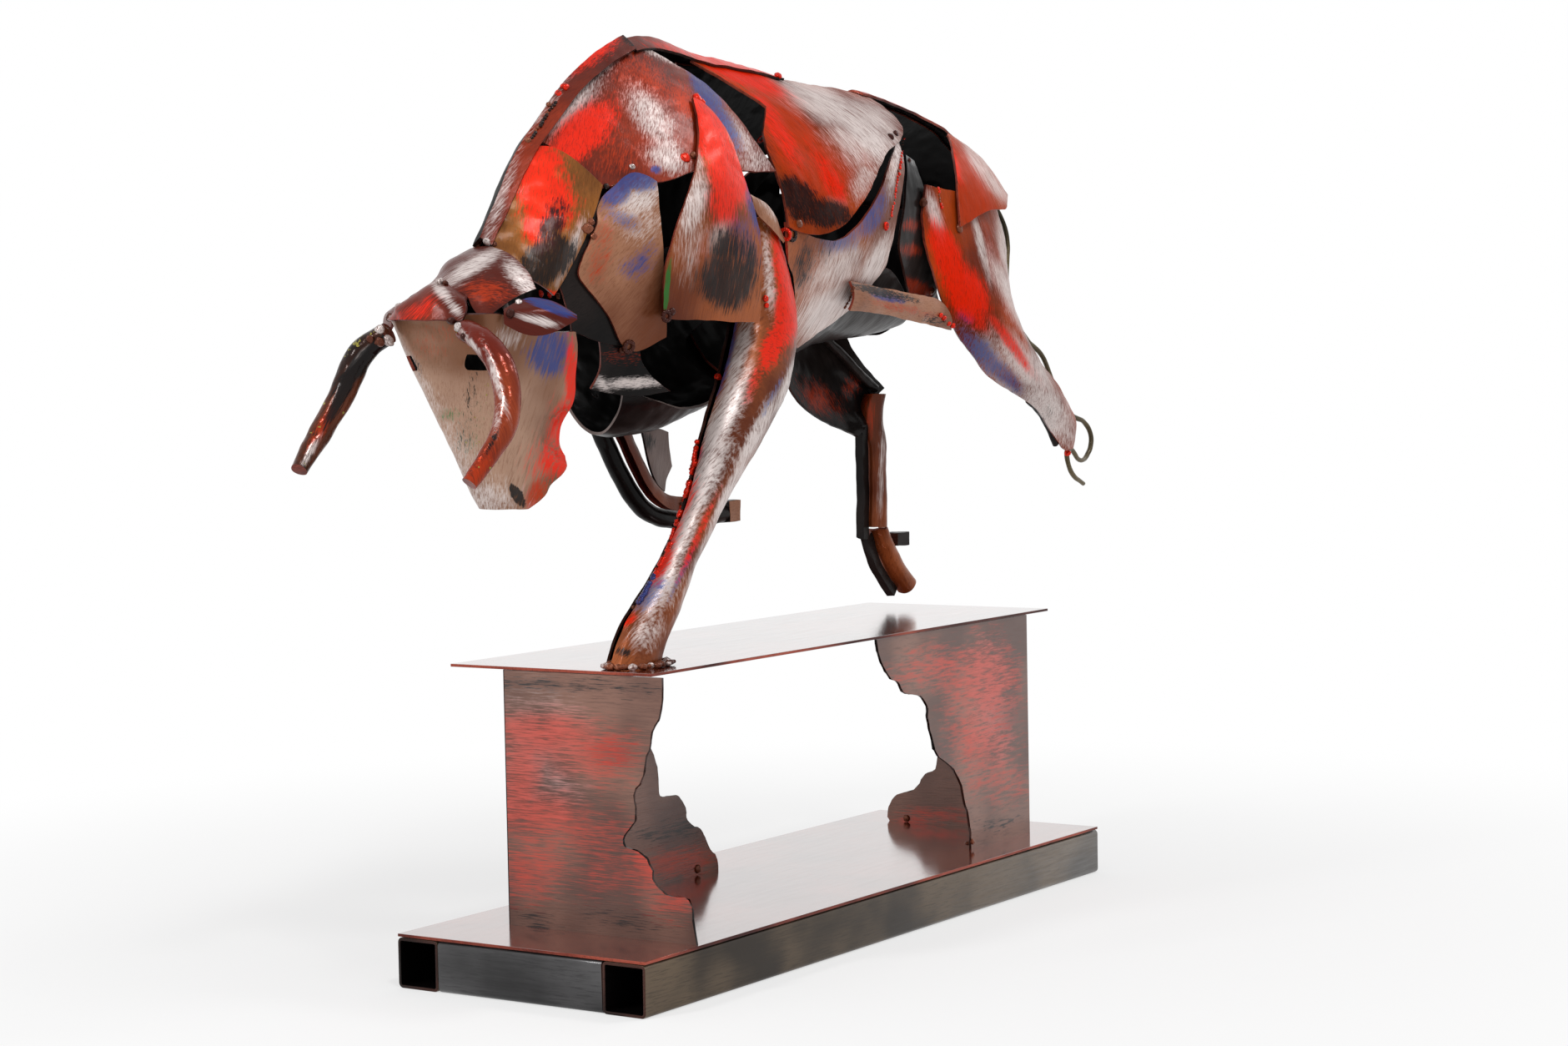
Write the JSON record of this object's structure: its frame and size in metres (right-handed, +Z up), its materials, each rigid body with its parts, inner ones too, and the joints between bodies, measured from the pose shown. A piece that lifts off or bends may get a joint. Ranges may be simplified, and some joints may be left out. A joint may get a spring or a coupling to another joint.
{
  "type": "bull sculpture",
  "caption": "Welded sheet-metal bull charging with its head down, on a plate raised by torn-edged corner pillars over a square-tube base.",
  "frame": {"origin": "below the middle of the whole object's box, on the table under the base", "axes": "+X from the head to the tail along the base, +Y towards the right side of the bull, +Z up"},
  "size_m": [0.6438, 0.15, 0.4692],
  "materials": {
    "base_tube": "lacquer, dark olive brown, brushed along the tube",
    "blue_grey_plate": "brushed lacquer, grey blue over brown with silver highlights",
    "copper_brown": "glossy lacquer, copper brown",
    "dark_plate": "glossy black lacquer",
    "deck": "mirror-glossy lacquer, dark red brown",
    "orange_plate": "brushed lacquer, orange red over brown with silver highlights",
    "pillar": "brushed lacquer, brown with red dry-brush strokes",
    "red_brown_plate": "brushed lacquer, red over copper brown with black strokes",
    "red_strip": "glossy lacquer, dark red",
    "wire": "glossy lacquer, olive brown"
  },
  "bodies": {
    "root": {"flank_plate_left": "blue_grey_plate", "flank_plate_right": "blue_grey_plate", "rib_plate_left": "orange_plate", "rib_plate_right": "orange_plate", "hump_plate_left": "red_brown_plate", "hump_plate_right": "red_brown_plate", "neck_plate_left": "red_brown_plate", "neck_plate_right": "red_brown_plate", "mid_neck_plate_left": "blue_grey_plate", "mid_neck_plate_right": "blue_grey_plate", "throat_plate_left": "dark_plate", "throat_plate_right": "dark_plate", "shoulder_fin_left": "red_brown_plate", "shoulder_fin_right": "red_brown_plate", "hip_strip_left": "dark_plate", "hip_strip_right": "dark_plate", "rump_plate_left": "orange_plate", "rump_plate_right": "orange_plate", "crest_strip": "red_strip", "dorsal_strip": "red_strip", "loin_strip": "red_strip", "brisket_plate": "dark_plate", "chest_band": "dark_plate", "belly_band": "dark_plate", "head_shell": "copper_brown", "brow_band": "red_strip", "poll_cap": "red_strip", "ear_left": "blue_grey_plate", "ear_right": "blue_grey_plate", "horn_left": "copper_brown", "horn_right": "copper_brown", "foreleg_left": "red_brown_plate", "shoulder_collar_left": "copper_brown", "hoof_weld": "copper_brown", "thigh_left": "red_brown_plate", "stifle_strut_left": "copper_brown", "hock_rod_left": "dark_plate", "foreleg_right_tube": "dark_plate", "foreleg_right_channel": "copper_brown", "hoof_right_fore": "dark_plate", "elbow_plate_right": "dark_plate", "haunch_plate_right": "copper_brown", "thigh_right": "copper_brown", "thigh_rod_right": "copper_brown", "shank_tube_right": "copper_brown", "pastern_right": "copper_brown", "shank_angle_right": "dark_plate", "pastern_angle_right": "dark_plate", "dewclaw_right": "copper_brown", "tail_wire": "wire", "base_rail_left": "base_tube", "base_rail_right": "base_tube", "base_cross_front": "base_tube", "base_cross_rear": "base_tube", "base_deck": "deck", "front_pillar_face": "pillar", "front_pillar_side": "pillar", "rear_pillar_side": "pillar", "rear_pillar_end": "pillar", "pedestal_plate": "deck"}
  },
  "joints": []
}
